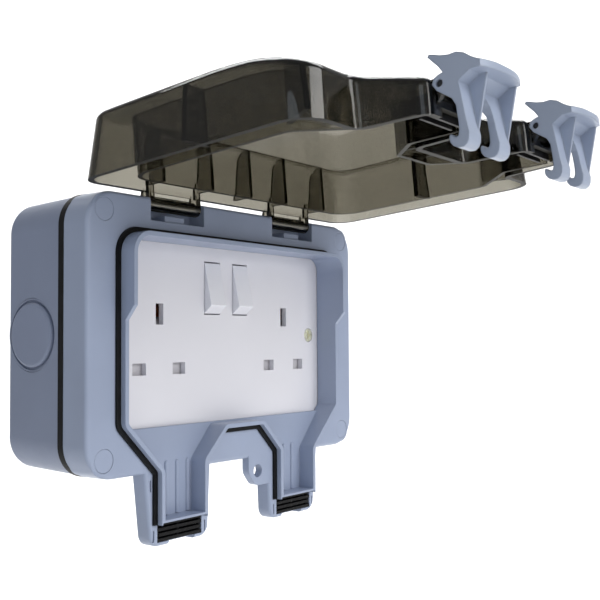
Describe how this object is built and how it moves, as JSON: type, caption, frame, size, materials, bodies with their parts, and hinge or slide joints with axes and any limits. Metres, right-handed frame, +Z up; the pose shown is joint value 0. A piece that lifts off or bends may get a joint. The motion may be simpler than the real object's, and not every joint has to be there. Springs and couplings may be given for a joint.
{
  "type": "weatherproof outdoor socket",
  "caption": "Surface-mounted weatherproof switched socket with a hinged smoked lid, toggle latches, cable legs with rubber seals, rocker switches and sprung shutters.",
  "frame": {"origin": "centre of the flat rear face that lies against the wall", "axes": "+X to the right seen from the front, +Y into the wall, +Z up; the front faces -Y"},
  "size_m": [0.1702, 0.1928, 0.171],
  "materials": {
    "housing": "satin moulded polymer, blue-grey",
    "latch": "satin moulded polymer, blue-grey",
    "smoked": "clear smoked polycarbonate, polished",
    "rubber": "matt black elastomer",
    "white": "satin white urea moulding",
    "module": "matt light grey moulding",
    "shutter": "matt light grey moulding",
    "steel": "bright zinc plated",
    "brass": "passivated brass"
  },
  "bodies": {
    "enclosure": {"front_frame": "housing", "lid_seal_perimeter": "rubber", "lid_seal_arch": "rubber", "frame_cable_seal_right": "rubber", "frame_cable_seal_left": "rubber", "frame_screws": "steel", "screw_covers": "housing", "box_gasket": "rubber", "back_box": "housing", "side_plug_right": "housing", "side_plug_left": "housing", "socket_plate": "white", "plate_screws": "brass", "socket_module": "module", "earth_contact_bar": "brass", "neutral_contact_bar": "brass", "live_contact_left": "brass", "live_contact_right": "brass", "terminal_blocks": "brass", "terminal_screws": "steel", "shutter_spring_left": "steel", "shutter_spring_right": "steel", "hinge_pin_right": "steel", "hinge_pin_left": "steel"},
    "lid": {"lid_shell": "smoked", "lid_cable_seal_right": "rubber", "lid_cable_seal_left": "rubber", "latch_pin_right": "steel", "latch_pin_left": "steel"},
    "left_latch": {"latch_left": "latch"},
    "right_latch": {"latch_right": "latch"},
    "left_rocker": {"rocker_left": "white"},
    "right_rocker": {"rocker_right": "white"},
    "left_shutter": {"shutter_left": "shutter"},
    "right_shutter": {"shutter_right": "shutter"}
  },
  "joints": [
    {"name": "lid_hinge", "type": "hinge", "parent": "enclosure", "child": "lid", "pos_m": [0, -0.0447, 0.05215], "axis": [1, 0, 0], "range_deg": [0, 94.85]},
    {"name": "left_latch_hinge", "type": "hinge", "parent": "lid", "child": "left_latch", "pos_m": [-0.03705, -0.17633, 0.07722], "axis": [1, 0, 0], "range_deg": [-40, 12]},
    {"name": "right_latch_hinge", "type": "hinge", "parent": "lid", "child": "right_latch", "pos_m": [0.03705, -0.17633, 0.07722], "axis": [1, 0, 0], "range_deg": [-40, 12]},
    {"name": "left_rocker_switch", "type": "hinge", "parent": "enclosure", "child": "left_rocker", "pos_m": [-0.00905, -0.038, 0.02005], "axis": [1, 0, 0], "range_deg": [0, 23]},
    {"name": "right_rocker_switch", "type": "hinge", "parent": "enclosure", "child": "right_rocker", "pos_m": [0.00905, -0.038, 0.02005], "axis": [1, 0, 0], "range_deg": [0, 23]},
    {"name": "left_shutter_slide", "type": "slide", "parent": "enclosure", "child": "left_shutter", "axis": [0, 0, -1], "range_m": [0, 0.006], "stiffness_N_per_m": 60, "springref_m": -0.003, "deforming": ["shutter_spring_left"]},
    {"name": "right_shutter_slide", "type": "slide", "parent": "enclosure", "child": "right_shutter", "axis": [0, 0, -1], "range_m": [0, 0.006], "stiffness_N_per_m": 60, "springref_m": -0.003, "deforming": ["shutter_spring_right"]}
  ]
}
